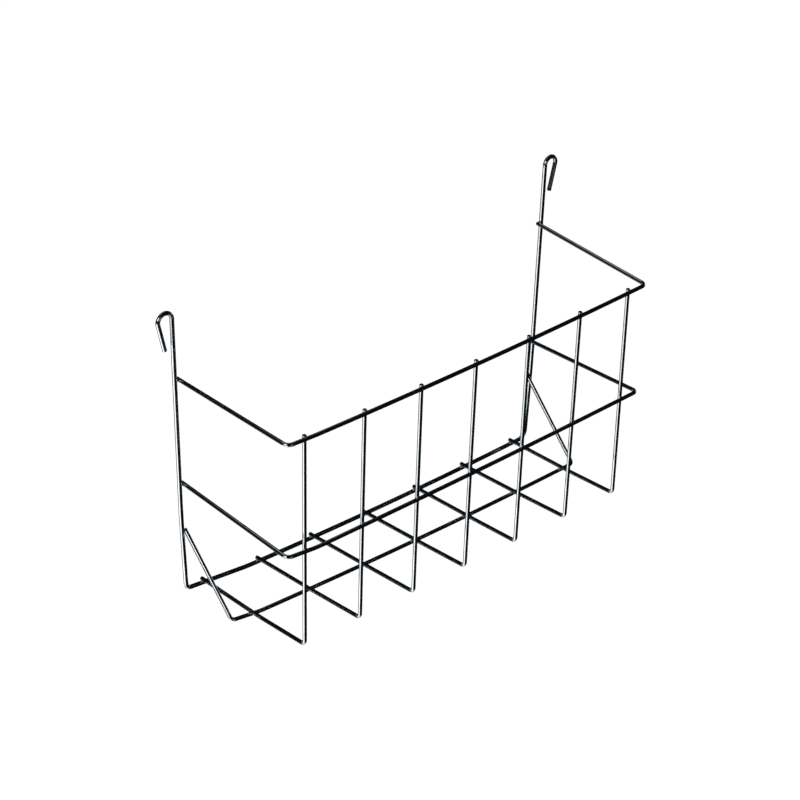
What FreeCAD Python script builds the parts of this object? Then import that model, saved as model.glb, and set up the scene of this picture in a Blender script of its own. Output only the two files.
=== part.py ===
import FreeCAD, Part
import math
import os

# A wire hay rack: one bent hanger wire with two hooks, three bent rails and seven L-shaped ribs,
# spot-welded where they cross. Millimetres. +Z is up, -Y is the animals' side, +X is to the
# right seen from there. Heights below are measured from the corners of the back rail. The saved
# shapes are lowered by HANG_HEIGHT, so the origin lies midway between the two hooks' seats.

LEFT, RIGHT = -1, 1
SIDES = (LEFT, RIGHT)

# wire stock and welds
BASKET_WIRE = 3.0        # diameter of the rails and ribs
HANGER_WIRE = 3.3        # diameter of the hanger
WELD_SINK = 0.3          # how deep two crossing wires are pressed into each other
NUGGET_RADIUS = 1.6      # metal squeezed out around a spot weld
CUT_EDGE = 0.3           # bevel of a sheared wire end
BASKET_GAP = BASKET_WIRE - WELD_SINK                        # between two basket centrelines
HANGER_GAP = (BASKET_WIRE + HANGER_WIRE) / 2 - WELD_SINK    # between a basket and the hanger's

# hanger: back rail, two uprights that lean outward, and a hook on each
KNEE_Z = 65.0            # height at which the uprights' lean changes
KNEE_HALF_GAP = 169.9
UPRIGHT_LEAN = math.radians(1.2)
LOWER_LEAN = math.radians(2.8)
KNEE_BEND = 1200.0
BACK_CORNER_Z = {LEFT: 4.6, RIGHT: -1.6}
BACK_KINK = (-112.0, 0.0, -0.7)
BACK_SAG = 2.4
HANGER_BEND = {LEFT: 4.5, RIGHT: 7.0}
HOOK_BEND = {LEFT: 5.8, RIGHT: 5.3}
HOOK_TOP_Z = {LEFT: 233.5, RIGHT: 238.5}
HOOK_SLANT = math.radians(13.0)
HOOK_LEG = 22.0
HANG_HEIGHT = sum(HOOK_TOP_Z.values()) / 2 - HANGER_WIRE / 2

# rails: a front run that bows between two corners, and an arm from each corner to an upright
# a corner is given by its distance from the middle, its depth and its height
# a run is straight from its left corner to its kink, and bows from there to its right corner
BOW_SHARE = 0.94         # it bows this share of the way to each end, then goes straight
KINK_BEND = 60.0
ARM_STUB = 1.2           # arm left past the upright's centreline
RIM_CORNER = {LEFT: (167.0, 113.9, 179.8), RIGHT: (167.0, 114.4, 183.2)}
RIM_KINK = (-143.0, -115.1, 179.9)
RIM_ARM_Z = {LEFT: 179.2, RIGHT: 185.5}
RIM_BOW = 2.5
RIM_BEND = 4.5
MID_CORNER = {LEFT: (167.0, 113.3, 91.0), RIGHT: (166.8, 113.9, 93.0)}
MID_KINK = (-143.0, -114.8, 90.0)
MID_ARM_Z = {LEFT: 94.4, RIGHT: 85.3}
MID_BOW = 1.5
MID_BEND = 4.2
BRACE_CORNER = {LEFT: (167.0, 51.9, 5.5), RIGHT: (165.0, 54.9, 1.3)}
BRACE_KINK = (-143.0, -53.8, 3.7)
BRACE_ARM_Z = {LEFT: 54.6, RIGHT: 54.2}
BRACE_BOW = 1.6
BRACE_SAG = 1.0
BRACE_BEND = 3.2

# ribs: down the front behind the rim and mid rail, then back over the brace and back rail
RIB_COUNT = 7
RIB_PITCH = 50.0
RIB_TOP_SHIFT = (-1.4, -0.5, -0.5, -0.3, 0.2, 1.2, 0.8)      # off the even pitch, left to right
RIB_BEND_SHIFT = (0.0, -0.5, -0.5, -0.8, -0.3, 0.6, 1.5)
RIB_BACK_SHIFT = (-2.0, -1.5, -1.0, -0.5, 1.5, 0.5, 2.0)
RIB_FRONT_LIFT = (2.4, 0.8, 0.3, 0.5, 0.5, 0.6, 1.2)       # the floor leg turns up this much at its front
RIB_BEND = 4.0
RIB_KINK_REACH = 9.0     # the floor leg turns up this far in front of the floor brace
RIB_KINK_BEND = 400.0
RIB_TOP_STUB = 1.6       # rib left above the rim's centreline
RIB_BACK_STUB = 1.8      # rib left behind the back rail's centreline

SAME_POINT = 1e-6
BACKWARD = FreeCAD.Vector(0, 1, 0)
UP = FreeCAD.Vector(0, 0, 1)


def rounded_path(points, radii):
    """A wire through the points, with a tangent arc of the given radius at each inner point."""
    edges = []
    start = points[0]
    for before, corner, after, radius in zip(points, points[1:], points[2:], radii):
        to_before = (before - corner).normalize()
        to_after = (after - corner).normalize()
        half_angle = to_before.getAngle(to_after) / 2
        reach = radius / math.tan(half_angle)
        bisector = (to_before + to_after).normalize()
        arc_start = corner + to_before * reach
        arc_middle = corner + bisector * (radius / math.sin(half_angle) - radius)
        arc_end = corner + to_after * reach
        if start.distanceToPoint(arc_start) > SAME_POINT:
            edges.append(Part.LineSegment(start, arc_start).toShape())
        edges.append(Part.Arc(arc_start, arc_middle, arc_end).toShape())
        start = arc_end
    edges.append(Part.LineSegment(start, points[-1]).toShape())
    return Part.Wire(edges)


def bent_wire(points, radii, diameter):
    """A solid wire along a rounded path, with its two sheared ends slightly bevelled."""
    path = rounded_path(points, radii)
    circle = Part.Circle(points[0], points[1] - points[0], diameter / 2)
    section = Part.Face(Part.Wire(circle.toShape()))
    solid = path.makePipe(section)
    expected = section.Area * path.Length
    print(f"wire length {path.Length:.1f}, volume / expected {solid.Volume / expected:.5f}")
    end_faces = [face for face in solid.Faces if isinstance(face.Surface, Part.Plane)]
    end_edges = [face.Edges[0] for face in end_faces]
    return solid.makeChamfer(CUT_EDGE, end_edges)


class Run:
    """The long run of a rail: it leaves the line between its two corners by the bow vector."""

    def __init__(self, left, right, bow):
        self.left = left
        self.right = right
        self.bow = bow
        half_gap = (right.x - left.x) / 2
        lift = 1 / (1 - BOW_SHARE / 2)
        self.middle = (left + right) * 0.5
        self.control = self.middle + bow * lift
        self.radius = BOW_SHARE * half_gap * half_gap / (bow.Length * lift)

    def at(self, x):
        """The centreline point at x, which lies in the bowed stretch."""
        share = (x - self.left.x) / (self.right.x - self.left.x)
        on_chord = self.left + (self.right - self.left) * share
        left_over = 1 - (x - self.middle.x) ** 2 / (2 * self.radius * self.bow.Length)
        return on_chord + self.bow * left_over


class KinkedRun(Run):
    """A run that is straight from its left corner to a kink, then bowed to its right corner."""

    def __init__(self, corner, kink, bow):
        self.corner = corner
        super().__init__(FreeCAD.Vector(*kink), corner[RIGHT], bow)

    def points(self):
        return [self.corner[LEFT], self.left, self.control, self.right]

    def radii(self, bend):
        return [bend[LEFT], KINK_BEND, self.radius, bend[RIGHT]]

    def at(self, x):
        if x > self.left.x:
            return super().at(x)
        corner = self.corner[LEFT]
        return corner + (self.left - corner) * ((x - corner.x) / (self.left.x - corner.x))


class Rail:
    """A bent rail: the front run and the heights at which its two arms meet the uprights."""

    def __init__(self, corner, kink, bow, arm_z, bend):
        self.corner = {}
        for side in SIDES:
            half_gap, depth, height = corner[side]
            self.corner[side] = FreeCAD.Vector(side * half_gap, -depth, height)
        self.run = KinkedRun(self.corner, kink, bow)
        self.arm_z = arm_z
        self.bend = {LEFT: bend, RIGHT: bend}

    def arm_seat(self, side):
        """Where the arm's centreline passes the upright, on its inner side."""
        height = self.arm_z[side]
        return FreeCAD.Vector(side * (upright_x(height) - HANGER_GAP), 0, height)

    def arm_tip(self, side):
        seat = self.arm_seat(side)
        return seat + (seat - self.corner[side]).normalize() * ARM_STUB

    def solid(self):
        points = [self.arm_tip(LEFT)] + self.run.points() + [self.arm_tip(RIGHT)]
        return bent_wire(points, self.run.radii(self.bend), BASKET_WIRE)


def upright_x(height):
    """Distance of an upright's centreline from the middle of the rack at a height."""
    lean = UPRIGHT_LEAN if height > KNEE_Z else LOWER_LEAN
    return KNEE_HALF_GAP + (height - KNEE_Z) * math.tan(lean)


def hook_points(side):
    """The hook's three path points, from its bend's start to its tip; it curls outward."""
    top = HOOK_TOP_Z[side]
    entry_turn = math.pi / 2 - UPRIGHT_LEAN
    exit_turn = math.pi / 2 + HOOK_SLANT
    crown = HOOK_BEND[side] * (math.tan(entry_turn / 2) + math.tan(exit_turn / 2))
    leg = HOOK_BEND[side] * math.tan(exit_turn / 2) + HOOK_LEG
    entry = FreeCAD.Vector(side * upright_x(top), 0, top)
    shoulder = entry + FreeCAD.Vector(side * crown, 0, 0)
    down = FreeCAD.Vector(-side * math.sin(HOOK_SLANT), 0, -math.cos(HOOK_SLANT))
    return [entry, shoulder, shoulder + down * leg]


def back_corner(side):
    height = BACK_CORNER_Z[side]
    return FreeCAD.Vector(side * upright_x(height), 0, height)


def hanger(back_run):
    left_knee, right_knee = [FreeCAD.Vector(side * KNEE_HALF_GAP, 0, KNEE_Z) for side in SIDES]
    points = hook_points(LEFT)[::-1] + [left_knee] + back_run.points()
    points += [right_knee] + hook_points(RIGHT)
    radii = [HOOK_BEND[LEFT]] * 2 + [KNEE_BEND] + back_run.radii(HANGER_BEND)
    radii += [KNEE_BEND] + [HOOK_BEND[RIGHT]] * 2
    return bent_wire(points, radii, HANGER_WIRE)


def meeting_point(first, second):
    """Where two lines in the YZ plane cross; each is given by two points."""
    (a, b), (c, d) = first, second
    ab = b - a
    cd = d - c
    ac = c - a
    share = (ac.y * cd.z - ac.z * cd.y) / (ab.y * cd.z - ab.z * cd.y)
    return a + ab * share


def rib_seats(number, back_run, rim, mid, brace):
    """The rib's centreline points over each wire that it is welded to."""
    even = (number - (RIB_COUNT - 1) / 2) * RIB_PITCH
    x_top = even + RIB_TOP_SHIFT[number]
    x_bend = even + RIB_BEND_SHIFT[number]
    x_back = even + RIB_BACK_SHIFT[number]
    return {
        "rim": rim.run.at(x_top) + BACKWARD * BASKET_GAP,
        "mid": mid.run.at((x_top + x_bend) / 2) + BACKWARD * BASKET_GAP,
        "brace": brace.run.at((x_bend + x_back) / 2) + UP * BASKET_GAP,
        "back": back_run.at(x_back) + UP * HANGER_GAP,
        "bend_x": x_bend,
        "lift": RIB_FRONT_LIFT[number],
    }


def rib(seats):
    bend = meeting_point((seats["rim"], seats["mid"]), (seats["back"], seats["brace"]))
    bend += UP * seats["lift"]
    bend.x = seats["bend_x"]
    top = seats["rim"] + (seats["rim"] - bend).normalize() * RIB_TOP_STUB
    backward = (seats["back"] - seats["brace"]).normalize()
    kink = seats["brace"] - backward * RIB_KINK_REACH
    back = seats["back"] + backward * RIB_BACK_STUB
    return bent_wire([top, bend, kink, back], [RIB_BEND, RIB_KINK_BEND], BASKET_WIRE)


def seated(solid, wires):
    """The wire with the shallow seats that welding presses into it, one cut for each wire it lies on."""
    for wire in wires:
        solid = solid.cut(wire)
    return solid


def nugget(place, first, second):
    """A collar of weld metal: a small ball at a crossing, less the two wires that cross in it."""
    return Part.makeSphere(NUGGET_RADIUS, place).cut([first, second])


def save(shape, node):
    lowered = shape.copy()
    lowered.translate(UP * -HANG_HEIGHT)
    lowered.exportStep(os.path.join("parts", node + ".step"))


def main():
    os.makedirs("parts", exist_ok=True)
    back_run = KinkedRun({side: back_corner(side) for side in SIDES}, BACK_KINK, UP * -BACK_SAG)
    rim = Rail(RIM_CORNER, RIM_KINK, BACKWARD * -RIM_BOW, RIM_ARM_Z, RIM_BEND)
    mid = Rail(MID_CORNER, MID_KINK, BACKWARD * -MID_BOW, MID_ARM_Z, MID_BEND)
    brace_bow = BACKWARD * -BRACE_BOW - UP * BRACE_SAG
    brace = Rail(BRACE_CORNER, BRACE_KINK, brace_bow, BRACE_ARM_Z, BRACE_BEND)

    hanger_solid = hanger(back_run)
    rails = {"rim_wire": rim, "mid_rail": mid, "floor_brace": brace}
    rail_solids = {node: rail.solid().cut(hanger_solid) for node, rail in rails.items()}
    save(hanger_solid, "hanger_frame")
    for node, solid in rail_solids.items():
        save(solid, node)

    crossed = [hanger_solid] + list(rail_solids.values())
    seats = [rib_seats(number, back_run, rim, mid, brace) for number in range(RIB_COUNT)]
    ribs = [seated(rib(places), crossed) for places in seats]
    for number, solid in enumerate(ribs, start=1):
        save(solid, f"rib_{number}")

    rib_welds = {
        "rim_rib_welds": ("rim", BACKWARD, rail_solids["rim_wire"]),
        "mid_rail_rib_welds": ("mid", BACKWARD, rail_solids["mid_rail"]),
        "floor_brace_rib_welds": ("brace", UP, rail_solids["floor_brace"]),
        "back_rail_rib_welds": ("back", UP, hanger_solid),
    }
    for node, (seat, away, crossing_wire) in rib_welds.items():
        places = [rib_places[seat] - away * (BASKET_GAP / 2) for rib_places in seats]
        balls = [nugget(place, crossing_wire, solid) for place, solid in zip(places, ribs)]
        save(Part.makeCompound(balls), node)

    for node, rail in rails.items():
        outward = FreeCAD.Vector(HANGER_GAP / 2, 0, 0)
        places = [rail.arm_seat(side) + outward * side for side in SIDES]
        balls = [nugget(place, hanger_solid, rail_solids[node]) for place in places]
        save(Part.makeCompound(balls), node + "_end_welds")


main()
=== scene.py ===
import math
import random

import bpy
from mathutils import Matrix, Vector, noise


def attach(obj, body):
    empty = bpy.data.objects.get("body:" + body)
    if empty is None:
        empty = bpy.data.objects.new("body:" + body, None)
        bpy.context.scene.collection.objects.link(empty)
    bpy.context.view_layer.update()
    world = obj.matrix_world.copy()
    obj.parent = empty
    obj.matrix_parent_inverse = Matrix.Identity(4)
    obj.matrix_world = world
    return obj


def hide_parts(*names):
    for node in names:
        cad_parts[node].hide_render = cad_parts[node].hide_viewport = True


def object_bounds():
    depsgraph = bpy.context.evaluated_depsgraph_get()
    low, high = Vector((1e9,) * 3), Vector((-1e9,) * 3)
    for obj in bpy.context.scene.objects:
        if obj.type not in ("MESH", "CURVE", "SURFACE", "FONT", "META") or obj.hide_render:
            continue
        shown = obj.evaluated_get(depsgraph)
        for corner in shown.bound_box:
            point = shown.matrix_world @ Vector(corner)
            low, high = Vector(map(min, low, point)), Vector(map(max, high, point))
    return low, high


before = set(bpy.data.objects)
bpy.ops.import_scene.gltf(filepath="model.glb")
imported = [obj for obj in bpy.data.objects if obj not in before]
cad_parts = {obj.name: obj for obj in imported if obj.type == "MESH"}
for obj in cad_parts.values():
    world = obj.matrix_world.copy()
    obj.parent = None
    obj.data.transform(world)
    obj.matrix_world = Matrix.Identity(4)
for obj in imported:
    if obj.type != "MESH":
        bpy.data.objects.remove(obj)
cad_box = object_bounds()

# A hay rack welded from bright-plated steel wire: a hanger with two hooks, three bowed rails and seven
# L-shaped ribs. Each wire is a drawn rod bent along its centreline, with sheared ends and a collar of
# squeezed-out metal at every spot weld. The centrelines repeat the driving dimensions of the CAD design.
# Metres, +Z up, -Y is the animals' side. The origin is midway between the two hook seats. Heights in the
# design are measured from a level near the back rail, HANG_HEIGHT below the origin.

MM = 0.001
LEFT, RIGHT = -1, 1
SIDES = (LEFT, RIGHT)
BACKWARD = Vector((0, 1, 0))
UP = Vector((0, 0, 1))

BASKET_WIRE = 3.0 * MM
HANGER_WIRE = 3.3 * MM
WELD_SINK = 0.3 * MM
BASKET_GAP = BASKET_WIRE - WELD_SINK
HANGER_GAP = (BASKET_WIRE + HANGER_WIRE) / 2 - WELD_SINK

KNEE_Z = 65.0 * MM           # height at which the uprights' lean changes
KNEE_HALF_GAP = 169.9 * MM
UPRIGHT_LEAN = math.radians(1.2)
LOWER_LEAN = math.radians(2.8)
KNEE_BEND = 1200.0 * MM
BACK_CORNER_Z = {LEFT: 4.6 * MM, RIGHT: -1.6 * MM}
BACK_KINK = (-112.0, 0.0, -0.7)
BACK_SAG = 2.4 * MM
HANGER_BEND = {LEFT: 4.5 * MM, RIGHT: 7.0 * MM}
HOOK_BEND = {LEFT: 5.8 * MM, RIGHT: 5.3 * MM}
HOOK_TOP_Z = {LEFT: 233.5 * MM, RIGHT: 238.5 * MM}
HOOK_SLANT = math.radians(13.0)
HOOK_LEG = 22.0 * MM
HANG_HEIGHT = sum(HOOK_TOP_Z.values()) / 2 - HANGER_WIRE / 2

# a rail's run is straight from its left corner to its kink, and bows from there to its right corner
BOW_SHARE = 0.94             # it bows this share of the way to each end, then goes straight
KINK_BEND = 60.0 * MM
ARM_STUB = 1.2 * MM

RIB_COUNT = 7
RIB_PITCH = 50.0 * MM
# how far each rib's top, bend and back end are off the even pitch, in millimetres
RIB_TOP_SHIFT = (-1.4, -0.5, -0.5, -0.3, 0.2, 1.2, 0.8)
RIB_BEND_SHIFT = (0.0, -0.5, -0.5, -0.8, -0.3, 0.6, 1.5)
RIB_BACK_SHIFT = (-2.0, -1.5, -1.0, -0.5, 1.5, 0.5, 2.0)
# how far the front end of each floor leg turns up, in millimetres
RIB_FRONT_LIFT = (2.4, 0.8, 0.3, 0.5, 0.5, 0.6, 1.2)
RIB_BEND = 4.0 * MM
RIB_KINK_REACH = 9.0 * MM    # a floor leg turns up this far in front of the floor brace
RIB_KINK_BEND = 400.0 * MM
RIB_TOP_STUB = 1.6 * MM
RIB_BACK_STUB = 1.8 * MM

# each rail's left and right corner (distance from the middle, depth, height), its kink, the heights at which
# its arms meet the uprights, its bow and its corners' bend radius, in millimetres
RIM_CORNERS = ((167.0, 113.9, 179.8), (167.0, 114.4, 183.2))
RIM_KINK = (-143.0, -115.1, 179.9)
RIM_ARM_Z = (179.2, 185.5)
RIM_BOW = 2.5
RIM_BEND = 4.5
MID_CORNERS = ((167.0, 113.3, 91.0), (166.8, 113.9, 93.0))
MID_KINK = (-143.0, -114.8, 90.0)
MID_ARM_Z = (94.4, 85.3)
MID_BOW = 1.5
MID_BEND = 4.2
BRACE_CORNERS = ((167.0, 51.9, 5.5), (165.0, 54.9, 1.3))
BRACE_KINK = (-143.0, -53.8, 3.7)
BRACE_ARM_Z = (54.6, 54.2)
BRACE_BOW = 1.6
BRACE_SAG = 1.0
BRACE_BEND = 3.2

# how finely the wires, welds and beads are meshed
SIDES_ROUND = 36
STRAIGHT_STEP = 3.0 * MM
SHORTEST_STRAIGHT = 0.01 * MM
BEND_STEP = math.radians(6)
LONG_RADIUS = 50.0 * MM      # an arc of a larger radius is a gentle bow, stepped like a straight
WELD_TURNS = 28
WELD_LEVELS = 6
SPATTER_TURNS = 8
SPATTER_LEVELS = 5

BEND_FLATTENING = 0.035      # share of the radius that a wire loses on the inside and outside of a bend
# a sheared end, from the wire's side to the middle of its face: share of the radius, and depth past the last
# full ring, in millimetres
SHEARED_EDGE = ((0.99, 0.08), (0.95, 0.18), (0.88, 0.25), (0.8, 0.28), (0.45, 0.24))
SHEARED_MIDDLE = 0.22 * MM
EDGE_DEPTH = 0.3 * MM
TORN_SHARE = 0.9             # the face inside this share of the radius is torn, and rough by SHEAR_ROUGHNESS
SHEAR_ROUGHNESS = 0.05 * MM
SHEAR_NOISE = 2.5
SECOND_END_SEED = 7          # added to a wire's seed, so that its two ends differ

# a weld's collar: its distance from the weld's middle, how uneven that is, how its side bulges and is
# waisted, and how deep it reaches into the wires
WELD_REACH = 1.55 * MM
WELD_UNEVEN = 0.28 * MM
WELD_BULGE = 0.16 * MM
WELD_WAIST = 0.12 * MM
WELD_BITE = 0.04 * MM
WELD_NOISE = 1.3
WIDEST_ASIDE = 0.985         # share of a wire's radius within which a collar clings to it
SPATTER_SIZE = (0.10 * MM, 0.22 * MM)
SPATTER_DISTANCE = (1.9, 3.2)    # from the weld along wire A, in millimetres
SPATTER_LEAN = 0.9           # radians to either side of the weld
WELD_SEED = 11

HEAT_REACH = 3.5 * MM        # how far a weld's heat has dulled the plating


# ---------------------------------------------------------------- centrelines


class Station:
    """One place on a wire's centreline: its direction there, and the pull of a bend (towards its centre)."""

    def __init__(self, place, along, pull):
        self.place = place
        self.along = along
        self.pull = pull


def straight(start, end):
    """Stations from start up to, and without, end."""
    run = end - start
    steps = max(1, round(run.length / STRAIGHT_STEP))
    along = run.normalized()
    return [Station(start + run * (step / steps), along, Vector()) for step in range(steps)]


def bend(start, centre, axis, angle, radius):
    """Stations round an arc from start up to, and without, its end."""
    if radius > LONG_RADIUS:
        steps = max(1, round(radius * angle / STRAIGHT_STEP))
    else:
        steps = max(4, round(angle / BEND_STEP))
    stations = []
    for step in range(steps):
        arm = Matrix.Rotation(angle * step / steps, 3, axis) @ (start - centre)
        fade = min(1, 2 * math.sin(math.pi * step / steps))
        pull = arm.normalized() * -fade if radius <= LONG_RADIUS else Vector()
        stations.append(Station(centre + arm, axis.cross(arm).normalized(), pull))
    return stations


def route(points, radii):
    """Stations along straight runs joined by tangent arcs, one arc at each inner point."""
    stations = []
    start = points[0]
    for before, corner, after, radius in zip(points, points[1:], points[2:], radii):
        arriving = (corner - before).normalized()
        leaving = (after - corner).normalized()
        turn = arriving.angle(leaving)
        arc_start = corner - arriving * (radius * math.tan(turn / 2))
        axis = arriving.cross(leaving).normalized()
        centre = arc_start + axis.cross(arriving) * radius
        if (arc_start - start).length > SHORTEST_STRAIGHT:
            stations += straight(start, arc_start)
        stations += bend(arc_start, centre, axis, turn, radius)
        start = corner + leaving * (radius * math.tan(turn / 2))
    stations += straight(start, points[-1])
    stations.append(Station(points[-1], (points[-1] - start).normalized(), Vector()))
    return stations


class Run:
    """The long run of a rail: it leaves the line between its two corners by the bow vector."""

    def __init__(self, left, right, bow):
        self.left = left
        self.right = right
        self.bow = bow
        half_gap = (right.x - left.x) / 2
        lift = 1 / (1 - BOW_SHARE / 2)
        self.middle = (left + right) / 2
        self.control = self.middle + bow * lift
        self.radius = BOW_SHARE * half_gap * half_gap / (bow.length * lift)

    def at(self, x):
        """The centreline point at x, which lies in the bowed stretch."""
        share = (x - self.left.x) / (self.right.x - self.left.x)
        left_over = 1 - (x - self.middle.x) ** 2 / (2 * self.radius * self.bow.length)
        return self.left.lerp(self.right, share) + self.bow * left_over


class KinkedRun(Run):
    """A run that is straight from its left corner to a kink, then bowed to its right corner."""

    def __init__(self, corner, kink, bow):
        self.corner = corner
        super().__init__(Vector(kink) * MM, corner[RIGHT], bow)

    def points(self):
        return [self.corner[LEFT], self.left, self.control, self.right]

    def radii(self, corner_bend):
        return [corner_bend[LEFT], KINK_BEND, self.radius, corner_bend[RIGHT]]

    def at(self, x):
        if x > self.left.x:
            return super().at(x)
        corner = self.corner[LEFT]
        return corner.lerp(self.left, (x - corner.x) / (self.left.x - corner.x))


class Rail:
    """A bent rail: the front run, and the heights at which its two arms meet the uprights."""

    def __init__(self, corners, kink, bow, arm_z, corner_bend):
        """A corner is given by its distance from the middle, its depth and its height, in millimetres."""
        self.corner = {}
        for side, (half_gap, depth, height) in zip(SIDES, corners):
            self.corner[side] = Vector((side * half_gap, -depth, height)) * MM
        self.arm_z = {side: height * MM for side, height in zip(SIDES, arm_z)}
        self.run = KinkedRun(self.corner, kink, bow * MM)
        self.corner_bend = {side: corner_bend * MM for side in SIDES}

    def arm_seat(self, side):
        height = self.arm_z[side]
        return Vector((side * (upright_x(height) - HANGER_GAP), 0, height))

    def arm_tip(self, side):
        seat = self.arm_seat(side)
        return seat + (seat - self.corner[side]).normalized() * ARM_STUB

    def stations(self):
        points = [self.arm_tip(LEFT)] + self.run.points() + [self.arm_tip(RIGHT)]
        return route(points, self.run.radii(self.corner_bend))


def upright_lean(height):
    return UPRIGHT_LEAN if height > KNEE_Z else LOWER_LEAN


def upright_x(height):
    return KNEE_HALF_GAP + (height - KNEE_Z) * math.tan(upright_lean(height))


def back_corner(side):
    height = BACK_CORNER_Z[side]
    return Vector((side * upright_x(height), 0, height))


def hook_points(side):
    """The hook's three route points, from its bend's start to its tip; it curls outward."""
    top = HOOK_TOP_Z[side]
    entry_turn = math.pi / 2 - UPRIGHT_LEAN
    exit_turn = math.pi / 2 + HOOK_SLANT
    crown = HOOK_BEND[side] * (math.tan(entry_turn / 2) + math.tan(exit_turn / 2))
    leg = HOOK_BEND[side] * math.tan(exit_turn / 2) + HOOK_LEG
    entry = Vector((side * upright_x(top), 0, top))
    shoulder = entry + Vector((side * crown, 0, 0))
    down = Vector((-side * math.sin(HOOK_SLANT), 0, -math.cos(HOOK_SLANT)))
    return [entry, shoulder, shoulder + down * leg]


def hanger_stations(back_run):
    left_knee, right_knee = [Vector((side * KNEE_HALF_GAP, 0, KNEE_Z)) for side in SIDES]
    points = hook_points(LEFT)[::-1] + [left_knee] + back_run.points()
    points += [right_knee] + hook_points(RIGHT)
    radii = [HOOK_BEND[LEFT]] * 2 + [KNEE_BEND] + back_run.radii(HANGER_BEND)
    radii += [KNEE_BEND] + [HOOK_BEND[RIGHT]] * 2
    return route(points, radii)


class Rib:
    """An L-shaped rib: behind the rim and the mid rail, then over the floor brace and the back rail."""

    def __init__(self, number, back_run, rim, mid, brace):
        even = (number - (RIB_COUNT - 1) / 2) * RIB_PITCH
        x_top = even + RIB_TOP_SHIFT[number] * MM
        x_bend = even + RIB_BEND_SHIFT[number] * MM
        x_back = even + RIB_BACK_SHIFT[number] * MM
        self.rim = rim.run.at(x_top) + BACKWARD * BASKET_GAP
        self.mid = mid.run.at((x_top + x_bend) / 2) + BACKWARD * BASKET_GAP
        self.brace = brace.run.at((x_bend + x_back) / 2) + UP * BASKET_GAP
        self.back = back_run.at(x_back) + UP * HANGER_GAP
        self.corner = meeting_point(self.rim, self.mid, self.back, self.brace)
        self.corner += UP * (RIB_FRONT_LIFT[number] * MM)
        self.corner.x = x_bend
        self.up = (self.rim - self.corner).normalized()
        self.rearward = (self.back - self.brace).normalized()

    def stations(self):
        top = self.rim + self.up * RIB_TOP_STUB
        kink = self.brace - self.rearward * RIB_KINK_REACH
        back = self.back + self.rearward * RIB_BACK_STUB
        return route([top, self.corner, kink, back], [RIB_BEND, RIB_KINK_BEND])


def meeting_point(a, b, c, d):
    """Where the lines ab and cd cross in the YZ plane."""
    ab = b - a
    cd = d - c
    ac = c - a
    share = (ac.y * cd.z - ac.z * cd.y) / (ab.y * cd.z - ab.z * cd.y)
    return a + ab * share


# ---------------------------------------------------------------- wires


def across(along):
    """Any unit vector at right angles to a direction."""
    helper = UP if abs(along.z) < 0.9 else BACKWARD
    return along.cross(helper).normalized()


class Skin:
    """Collects rings of points into one closed mesh, with each point's place on the wire before bending."""

    def __init__(self):
        self.points = []
        self.unbent = []
        self.faces = []

    def ring(self, centre, first, second, radius, pull, travel, shape=None):
        """Adds a ring round a centre and joins it to the one before. A bend flattens it a little."""
        start = len(self.points)
        for step in range(SIDES_ROUND):
            angle = 2 * math.pi * step / SIDES_ROUND
            spoke = first * math.cos(angle) + second * math.sin(angle)
            flattened = spoke - pull * (spoke.dot(pull) * BEND_FLATTENING) if pull.length else spoke
            lift = shape(angle) if shape else Vector()
            self.points.append(centre + flattened * radius + lift)
            self.unbent.append(Vector((math.cos(angle) * radius, math.sin(angle) * radius, travel)))
        return start

    def join(self, one, other):
        """Faces between two rings."""
        for step in range(SIDES_ROUND):
            after = (step + 1) % SIDES_ROUND
            self.faces.append((one + step, one + after, other + after, other + step))

    def close(self, ring, tip, travel, flip):
        """Closes a ring with a fan to one point."""
        self.points.append(tip)
        self.unbent.append(Vector((0, 0, travel)))
        last = len(self.points) - 1
        for step in range(SIDES_ROUND):
            after = (step + 1) % SIDES_ROUND
            pair = (ring + after, ring + step) if flip else (ring + step, ring + after)
            self.faces.append((*pair, last))

    def mesh(self, name):
        data = bpy.data.meshes.new(name)
        data.from_pydata(self.points, [], self.faces)
        data.shade_smooth()
        unbent = data.attributes.new("unbent", "FLOAT_VECTOR", "POINT")
        unbent.data.foreach_set("vector", [value for point in self.unbent for value in point])
        return data


def sheared_end(skin, station, first, second, radius, travel, outward, last_ring, seed):
    """The rolled edge and torn face that a shear leaves on a cut wire."""
    direction = station.along * outward
    rings = []
    for share, depth in SHEARED_EDGE:
        torn = SHEAR_ROUGHNESS if share < TORN_SHARE else 0

        def shape(angle, share=share, torn=torn):
            reach = share * SHEAR_NOISE
            where = Vector((math.cos(angle) * reach, math.sin(angle) * reach, seed))
            return direction * (noise.noise(where) * torn)

        centre = station.place - direction * EDGE_DEPTH + direction * (depth * MM)
        rings.append(skin.ring(centre, first, second, radius * share, Vector(), travel, shape))
    previous = last_ring
    for ring in rings:
        if outward > 0:
            skin.join(previous, ring)
        else:
            skin.join(ring, previous)
        previous = ring
    tip = station.place - direction * (EDGE_DEPTH - SHEARED_MIDDLE)
    skin.close(previous, tip, travel, flip=outward < 0)


def wire(name, stations, diameter, seed):
    """A closed round wire along the stations, as a new object."""
    skin = Skin()
    radius = diameter / 2
    first = across(stations[0].along)
    travel = 0
    rings = []
    frames = []
    for index, station in enumerate(stations):
        if index:
            travel += (station.place - stations[index - 1].place).length
            first = (first - station.along * first.dot(station.along)).normalized()
        second = station.along.cross(first)
        place = station.place
        if index == 0:
            place = place + station.along * EDGE_DEPTH
        elif index == len(stations) - 1:
            place = place - station.along * EDGE_DEPTH
        rings.append(skin.ring(place, first, second, radius, station.pull, travel))
        frames.append((first.copy(), second.copy()))
    for one, other in zip(rings, rings[1:]):
        skin.join(one, other)
    sheared_end(skin, stations[0], *frames[0], radius, 0, -1, rings[0], seed)
    sheared_end(skin, stations[-1], *frames[-1], radius, travel, 1, rings[-1], seed + SECOND_END_SEED)
    return place_object(name, skin.mesh(name))


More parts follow.
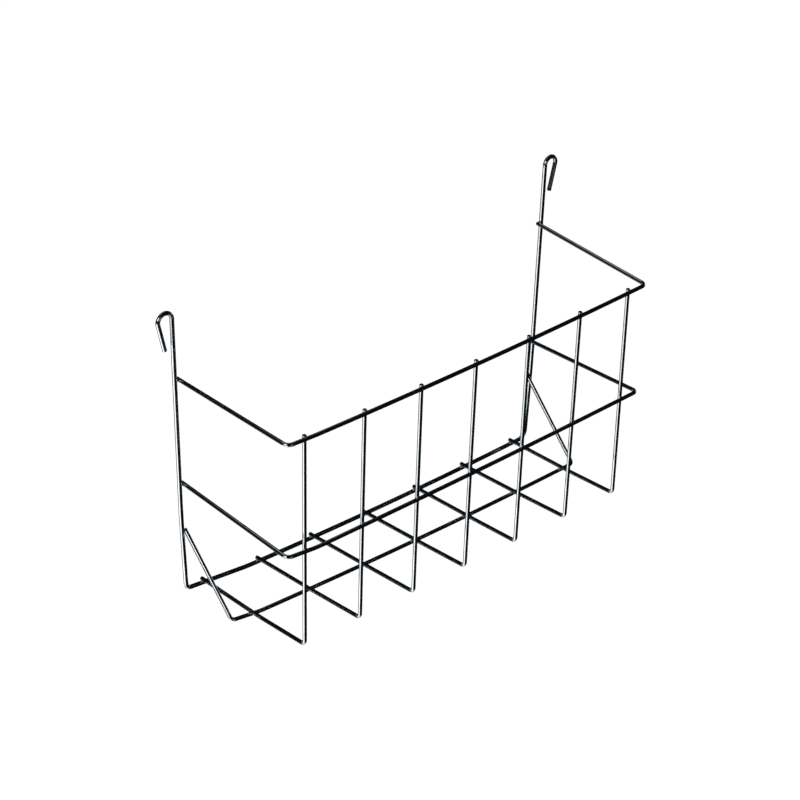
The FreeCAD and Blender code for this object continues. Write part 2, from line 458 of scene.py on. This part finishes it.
def place_object(name, data):
    piece = bpy.data.objects.new(name, data)
    bpy.context.scene.collection.objects.link(piece)
    return piece


# ---------------------------------------------------------------- welds


class Crossing:
    """Where wire B is welded on wire A. normal points from A to B; a and b are the wires' directions."""

    def __init__(self, seat, normal, a, b, radius_a, radius_b):
        self.normal = normal
        self.a = a
        self.b = b
        self.radius_a = radius_a
        self.radius_b = radius_b
        self.place = seat - normal * (radius_b - WELD_SINK / 2)

    def surface_a(self, offset):
        """How high wire A's skin stands above the weld's middle plane at an offset from its centre."""
        aside = offset.dot(self.normal.cross(self.a))
        return -(self.radius_a - WELD_SINK / 2) + half_chord(self.radius_a, aside)

    def surface_b(self, offset):
        aside = offset.dot(self.normal.cross(self.b))
        return (self.radius_b - WELD_SINK / 2) - half_chord(self.radius_b, aside)


def half_chord(radius, aside):
    aside = min(abs(aside), WIDEST_ASIDE * radius)
    return math.sqrt(radius * radius - aside * aside)


def collar(crossing, rng, points, faces):
    """Squeezed-out metal round a spot weld: a ragged ring that clings to both wires."""
    first = crossing.a - crossing.normal * crossing.a.dot(crossing.normal)
    first.normalize()
    second = crossing.normal.cross(first)
    seed = rng.uniform(0, 100)
    start = len(points)
    for turn in range(WELD_TURNS):
        angle = 2 * math.pi * turn / WELD_TURNS
        spoke = first * math.cos(angle) + second * math.sin(angle)
        where = Vector((math.cos(angle) * WELD_NOISE, math.sin(angle) * WELD_NOISE, seed))
        reach = WELD_REACH + noise.noise(where) * WELD_UNEVEN
        bulge = WELD_BULGE * noise.noise(where * 2 + UP * 9)
        low = crossing.surface_a(spoke * reach) - WELD_BITE
        high = crossing.surface_b(spoke * reach) + WELD_BITE
        for level in range(WELD_LEVELS):
            share = level / (WELD_LEVELS - 1)
            waist = math.sin(math.pi * share)
            out = reach - waist * WELD_WAIST + waist * bulge
            height = low + (high - low) * share
            points.append(crossing.place + spoke * out + crossing.normal * height)
    points.append(crossing.place)
    centre = len(points) - 1
    for turn in range(WELD_TURNS):
        here = start + turn * WELD_LEVELS
        there = start + (turn + 1) % WELD_TURNS * WELD_LEVELS
        for level in range(WELD_LEVELS - 1):
            faces.append((here + level, there + level, there + level + 1, here + level + 1))
        faces.append((there, here, centre))
    points.append(crossing.place)
    for turn in range(WELD_TURNS):
        here = start + turn * WELD_LEVELS + WELD_LEVELS - 1
        there = start + (turn + 1) % WELD_TURNS * WELD_LEVELS + WELD_LEVELS - 1
        faces.append((here, there, centre + 1))


def spatter(crossing, rng, points, faces):
    """A few beads of thrown metal, half sunk in wire A beside the weld."""
    for _ in range(rng.randint(1, 3)):
        size = rng.uniform(*SPATTER_SIZE)
        along = rng.choice(SIDES) * rng.uniform(*SPATTER_DISTANCE) * MM
        lean = rng.uniform(-SPATTER_LEAN, SPATTER_LEAN)
        aside = crossing.normal.cross(crossing.a)
        outward = crossing.normal * math.cos(lean) + aside * math.sin(lean)
        axis = crossing.place - crossing.normal * (crossing.radius_a - WELD_SINK / 2)
        centre = axis + crossing.a * along + outward * crossing.radius_a
        bead(centre, outward, size, points, faces)


def bead(centre, outward, size, points, faces):
    """A small ball: rings of points from its top to its bottom, and a fan to each pole."""
    first = across(outward)
    second = outward.cross(first)
    start = len(points)
    for level in range(1, SPATTER_LEVELS):
        tilt = math.pi * level / SPATTER_LEVELS
        for turn in range(SPATTER_TURNS):
            angle = 2 * math.pi * turn / SPATTER_TURNS
            spoke = first * math.cos(angle) + second * math.sin(angle)
            points.append(centre + (spoke * math.sin(tilt) + outward * math.cos(tilt)) * size)
    points.append(centre + outward * size)
    points.append(centre - outward * size)
    top, bottom = len(points) - 2, len(points) - 1
    last = start + (SPATTER_LEVELS - 2) * SPATTER_TURNS
    for turn in range(SPATTER_TURNS):
        after = (turn + 1) % SPATTER_TURNS
        for level in range(SPATTER_LEVELS - 2):
            row = start + level * SPATTER_TURNS
            below = row + SPATTER_TURNS
            faces.append((row + turn, below + turn, below + after, row + after))
        faces.append((top, start + turn, start + after))
        faces.append((bottom, last + after, last + turn))


def weld_group(name, crossings, rng):
    points, faces = [], []
    for crossing in crossings:
        collar(crossing, rng, points, faces)
        spatter(crossing, rng, points, faces)
    data = bpy.data.meshes.new(name)
    data.from_pydata(points, [], faces)
    data.shade_smooth()
    return place_object(name, data)


# ---------------------------------------------------------------- materials


class Nodes:
    """A short way to write a material's nodes."""

    def __init__(self, name):
        self.material = bpy.data.materials.new(name)
        self.material.use_nodes = True
        self.tree = self.material.node_tree
        self.shader = self.tree.nodes["Principled BSDF"]

    def add(self, kind, **values):
        node = self.tree.nodes.new(kind)
        for key, value in values.items():
            if key in node.inputs.keys():
                node.inputs[key].default_value = value
            else:
                setattr(node, key, value)
        return node

    def link(self, source, target):
        self.tree.links.new(source, target)

    def noise(self, vector, stretch, scale, detail, roughness=0.5):
        """Noise on a vector that is first stretched along the wire."""
        mapping = self.add("ShaderNodeMapping", Scale=stretch)
        texture = self.add("ShaderNodeTexNoise", Scale=scale, Detail=detail, Roughness=roughness)
        self.link(vector, mapping.inputs["Vector"])
        self.link(mapping.outputs["Vector"], texture.inputs["Vector"])
        return texture.outputs["Fac"]

    def spread(self, value, low, high, out_low, out_high):
        """Maps low..high of a value to out_low..out_high, with a smooth step."""
        node = self.add("ShaderNodeMapRange", interpolation_type="SMOOTHSTEP")
        limits = {"From Min": low, "From Max": high, "To Min": out_low, "To Max": out_high}
        for key, number in limits.items():
            node.inputs[key].default_value = number
        self.link(value, node.inputs["Value"])
        return node.outputs["Result"]

    def blend(self, factor, first, second):
        """Mixes two colours; each is a socket or a plain colour."""
        node = self.add("ShaderNodeMix", data_type="RGBA", blend_type="MIX")
        self.link(factor, node.inputs["Factor"])
        for socket, value in ((node.inputs[6], first), (node.inputs[7], second)):
            if isinstance(value, tuple):
                socket.default_value = (*value, 1)
            else:
                self.link(value, socket)
        return node.outputs[2]

    def sum(self, first, second, second_share=1.0):
        """Adds a share of the second value to the first."""
        scaled = self.add("ShaderNodeMath", operation="MULTIPLY_ADD")
        self.link(second, scaled.inputs[0])
        scaled.inputs[1].default_value = second_share
        self.link(first, scaled.inputs[2])
        return scaled.outputs[0]


BRIGHT_PLATE = (0.72, 0.76, 0.79)
CLOUDY_PLATE = (0.64, 0.69, 0.72)
HEAT_STAIN = (0.36, 0.35, 0.36)
PIT_COLOUR = (0.20, 0.21, 0.22)
WELD_SCALE = (0.22, 0.22, 0.23)
WELD_BARE = (0.58, 0.60, 0.61)
SURROUND = (0.0035, 0.0048, 0.0056, 1)
FLOOR_GREY = (0.4, 0.4, 0.4, 1)
FLOOR_GLOW = (1.0, 1.0, 1.0, 1)


def plated_wire(name):
    """Bright plating over drawn wire: die lines, cloudy patches and fine pits, and dulled by each weld."""
    nodes = Nodes(name)
    unbent = nodes.add("ShaderNodeAttribute", attribute_name="unbent").outputs["Vector"]
    heat = nodes.add("ShaderNodeAttribute", attribute_name="heat").outputs["Fac"]
    clouds = nodes.noise(unbent, (1, 1, 0.35), 420, 4)
    die_lines = nodes.noise(unbent, (1, 1, 0.012), 5200, 3, 0.6)
    waves = nodes.noise(unbent, (1, 1, 0.25), 300, 2)
    grain = nodes.noise(unbent, (1, 1, 1), 9000, 2)
    pits = nodes.spread(nodes.noise(unbent, (1, 1, 0.7), 2600, 2), 0.76, 0.82, 0, 0.8)

    colour = nodes.blend(nodes.spread(clouds, 0.38, 0.66, 0, 1), CLOUDY_PLATE, BRIGHT_PLATE)
    colour = nodes.blend(heat, colour, HEAT_STAIN)
    colour = nodes.blend(pits, colour, PIT_COLOUR)
    nodes.link(colour, nodes.shader.inputs["Base Color"])
    nodes.shader.inputs["Metallic"].default_value = 1.0

    roughness = nodes.spread(clouds, 0.3, 0.7, 0.13, 0.07)
    roughness = nodes.sum(roughness, die_lines, 0.03)
    roughness = nodes.sum(roughness, heat, 0.16)
    nodes.link(roughness, nodes.shader.inputs["Roughness"])

    relief = nodes.sum(die_lines, grain, 0.08)
    relief = nodes.sum(relief, waves, 4.0)
    relief = nodes.sum(relief, pits, -1.5)
    bump = nodes.add("ShaderNodeBump", Strength=0.3, Distance=0.004 * MM)
    nodes.link(relief, bump.inputs["Height"])
    nodes.link(bump.outputs["Normal"], nodes.shader.inputs["Normal"])
    return nodes.material


def weld_metal(name):
    """Metal that melted and froze: greyer than the wire, lumpy, with dark scale in its hollows."""
    nodes = Nodes(name)
    place = nodes.add("ShaderNodeTexCoord").outputs["Object"]
    lumps = nodes.noise(place, (1, 1, 1), 900, 3)
    grain = nodes.noise(place, (1, 1, 1), 5200, 3, 0.6)
    scale = nodes.spread(lumps, 0.36, 0.6, 0, 1)
    colour = nodes.blend(scale, WELD_SCALE, WELD_BARE)
    nodes.link(colour, nodes.shader.inputs["Base Color"])
    nodes.shader.inputs["Metallic"].default_value = 1.0
    nodes.link(nodes.spread(grain, 0.3, 0.7, 0.22, 0.42), nodes.shader.inputs["Roughness"])
    bump = nodes.add("ShaderNodeBump", Strength=0.7, Distance=0.03 * MM)
    nodes.link(nodes.sum(lumps, grain, 0.3), bump.inputs["Height"])
    nodes.link(bump.outputs["Normal"], nodes.shader.inputs["Normal"])
    return nodes.material


def mark_heat(piece, places):
    """Stores how near each point of a wire is to a weld, from 1 at the weld to 0 away from it."""
    heat = piece.data.attributes.new("heat", "FLOAT", "POINT")
    values = []
    for vertex in piece.data.vertices:
        nearest = min((vertex.co - place).length for place in places)
        values.append(math.exp(-((nearest / HEAT_REACH) ** 2) * 2))
    heat.data.foreach_set("value", values)


# ---------------------------------------------------------------- the rack


def lowered(stations):
    for station in stations:
        station.place = station.place - UP * HANG_HEIGHT
    return stations


def build_rack():
    back_run = KinkedRun({side: back_corner(side) for side in SIDES}, BACK_KINK, UP * -BACK_SAG)
    rim = Rail(RIM_CORNERS, RIM_KINK, BACKWARD * -RIM_BOW, RIM_ARM_Z, RIM_BEND)
    mid = Rail(MID_CORNERS, MID_KINK, BACKWARD * -MID_BOW, MID_ARM_Z, MID_BEND)
    brace_bow = BACKWARD * -BRACE_BOW - UP * BRACE_SAG
    brace = Rail(BRACE_CORNERS, BRACE_KINK, brace_bow, BRACE_ARM_Z, BRACE_BEND)
    ribs = [Rib(number, back_run, rim, mid, brace) for number in range(RIB_COUNT)]
    along_x = Vector((1, 0, 0))
    basket, hanger = BASKET_WIRE / 2, HANGER_WIRE / 2

    crossings = {
        "rim_rib_welds": [
            Crossing(rib.rim, BACKWARD, along_x, rib.up, basket, basket) for rib in ribs
        ],
        "mid_rail_rib_welds": [
            Crossing(rib.mid, BACKWARD, along_x, rib.up, basket, basket) for rib in ribs
        ],
        "floor_brace_rib_welds": [
            Crossing(rib.brace, UP, along_x, rib.rearward, basket, basket) for rib in ribs
        ],
        "back_rail_rib_welds": [
            Crossing(rib.back, UP, along_x, rib.rearward, hanger, basket) for rib in ribs
        ],
    }
    for node, rail in (("rim_wire", rim), ("mid_rail", mid), ("floor_brace", brace)):
        crossings[node + "_end_welds"] = [end_crossing(rail, side) for side in SIDES]
    for group in crossings.values():
        for crossing in group:
            crossing.place = crossing.place - UP * HANG_HEIGHT

    wire_steel = plated_wire("plated_wire")
    weld_steel = weld_metal("weld_metal")
    weld_places = [crossing.place for group in crossings.values() for crossing in group]
    routes = {
        "hanger_frame": hanger_stations(back_run),
        "rim_wire": rim.stations(),
        "mid_rail": mid.stations(),
        "floor_brace": brace.stations(),
    }
    for number, rib in enumerate(ribs, start=1):
        routes[f"rib_{number}"] = rib.stations()
    for seed, (node, stations) in enumerate(routes.items()):
        diameter = HANGER_WIRE if node == "hanger_frame" else BASKET_WIRE
        piece = wire("look_" + node, lowered(stations), diameter, seed)
        mark_heat(piece, weld_places)
        finish_piece(piece, node, wire_steel)
    rng = random.Random(WELD_SEED)
    for node, group in crossings.items():
        finish_piece(weld_group("look_" + node, group, rng), node, weld_steel)


def end_crossing(rail, side):
    """The weld of a rail's arm on the inner side of an upright."""
    arm = (rail.arm_seat(side) - rail.corner[side]).normalized()
    lean = upright_lean(rail.arm_z[side])
    upright = Vector((side * math.sin(lean), 0, math.cos(lean)))
    inward = Vector((-side, 0, 0))
    return Crossing(rail.arm_seat(side), inward, upright, arm, HANGER_WIRE / 2, BASKET_WIRE / 2)


def finish_piece(piece, node, material):
    piece.data.materials.append(material)
    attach(piece, "root")
    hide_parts(node)


# ---------------------------------------------------------------- stage, light and camera

CAMERA_AZIMUTH = -42.23      # degrees; 0 is -Y and 90 is +X
CAMERA_ELEVATION = 31.33
CAMERA_ROLL = math.radians(1.38)
CAMERA_PLACE = Vector((-1.0913, -1.2397, 0.8684))
CAMERA_LENS = 119.19         # millimetres, on a sensor CAMERA_SENSOR wide
CAMERA_SENSOR = 36
CAMERA_RANGE = 200           # metres; it reaches past the cove's wall

FLOOR_DROP = 0.30
COVE_FLAT = 8.0              # radius of the floor's flat middle
COVE_RISE = 8.0              # radius of the quarter round that turns it up into a wall
COVE_WALL = 16.0
COVE_TURNS = 64
COVE_STEPS = 12


PANEL_DISTANCE = 2.5
PANELS = (
    # name, azimuth, elevation, half width, half height, radiance
    ("left_low", -93, -39, 25, 21, 1.6),
    ("left_high", -80, 24, 15, 14, 2.0),
    ("rear_left_low", -150, -36, 12, 14, 0.20),
    ("rear_high", -176, 61, 33, 10, 0.28),
    ("right_strip", 90, -2, 14, 9, 0.7),
    ("front_strip", -4, -4, 14, 8, 0.5),
    ("back_strip", 180, -4, 14, 8, 0.6),
    ("below", -60, -82, 20, 14, 1.1),
)


def direction(azimuth, elevation):
    """Unit vector from the rack: azimuth 0 is -Y and 90 is +X, in degrees."""
    turn, rise = math.radians(azimuth), math.radians(elevation)
    return Vector((math.sin(turn) * math.cos(rise), -math.cos(turn) * math.cos(rise), math.sin(rise)))


def panel(name, azimuth, elevation, half_width, half_height, radiance):
    """An evenly lit card facing the rack, which the wires mirror. Its place and half sizes are in degrees."""
    width = 2 * PANEL_DISTANCE * math.tan(math.radians(half_width))
    height = 2 * PANEL_DISTANCE * math.tan(math.radians(half_height))
    light = bpy.data.lights.new(name, "AREA")
    light.shape = "RECTANGLE"
    light.size = width
    light.size_y = height
    light.energy = radiance * width * height * math.pi
    card = bpy.data.objects.new(name, light)
    middle = (Vector(cad_box[0]) + Vector(cad_box[1])) / 2
    toward = direction(azimuth, elevation)
    card.location = middle + toward * PANEL_DISTANCE
    card.rotation_euler = toward.to_track_quat("Z", "Y").to_euler()
    card.visible_camera = False
    bpy.context.scene.collection.objects.link(card)


def cove():
    """A wide pale floor below the hanging rack, turned up into a wall far away. The wires don't mirror it."""
    height = cad_box[0][2] - FLOOR_DROP
    profile = [(COVE_FLAT, 0.0)]
    for step in range(1, COVE_STEPS + 1):
        angle = math.pi / 2 * step / COVE_STEPS
        profile.append((COVE_FLAT + COVE_RISE * math.sin(angle), COVE_RISE * (1 - math.cos(angle))))
    profile.append((COVE_FLAT + COVE_RISE, COVE_WALL))
    points = [(0.0, 0.0, height)]
    for radius, rise in profile:
        for turn in range(COVE_TURNS):
            angle = 2 * math.pi * turn / COVE_TURNS
            points.append((radius * math.cos(angle), radius * math.sin(angle), height + rise))
    faces = []
    for turn in range(COVE_TURNS):
        after = (turn + 1) % COVE_TURNS
        faces.append((0, 1 + turn, 1 + after))
        for ring in range(len(profile) - 1):
            low = 1 + ring * COVE_TURNS
            high = low + COVE_TURNS
            faces.append((low + turn, high + turn, high + after, low + after))
    data = bpy.data.meshes.new("cove")
    data.from_pydata(points, [], faces)
    data.shade_smooth()
    floor = place_object("cove", data)
    nodes = Nodes("pale_floor")
    nodes.shader.inputs["Base Color"].default_value = FLOOR_GREY
    nodes.shader.inputs["Roughness"].default_value = 0.9
    nodes.shader.inputs["Specular IOR Level"].default_value = 0.1
    nodes.shader.inputs["Emission Color"].default_value = FLOOR_GLOW
    nodes.shader.inputs["Emission Strength"].default_value = 1.0
    data.materials.append(nodes.material)
    floor.visible_glossy = False
    floor.visible_diffuse = False
    floor.visible_shadow = False


def studio():
    """A dark surround and a few lit cards for the wires to mirror."""
    world = bpy.data.worlds.new("studio")
    world.use_nodes = True
    background = world.node_tree.nodes["Background"]
    background.inputs["Color"].default_value = SURROUND
    bpy.context.scene.world = world
    for values in PANELS:
        panel(*values)
    bpy.context.scene.view_settings.view_transform = "Standard"


def camera():
    data = bpy.data.cameras.new("camera")
    data.lens = CAMERA_LENS
    data.sensor_width = CAMERA_SENSOR
    data.clip_end = CAMERA_RANGE
    eye = bpy.data.objects.new("camera", data)
    bpy.context.scene.collection.objects.link(eye)
    turn = math.radians(CAMERA_AZIMUTH)
    back = direction(CAMERA_AZIMUTH, CAMERA_ELEVATION)
    level = Vector((math.cos(turn), math.sin(turn), 0))
    upright = back.cross(level)
    right = level * math.cos(CAMERA_ROLL) + upright * math.sin(CAMERA_ROLL)
    up = upright * math.cos(CAMERA_ROLL) - level * math.sin(CAMERA_ROLL)
    eye.matrix_world = Matrix.Translation(CAMERA_PLACE) @ Matrix((right, up, back)).transposed().to_4x4()
    bpy.context.scene.camera = eye


build_rack()
cove()
studio()
camera()

bpy.context.view_layer.update()
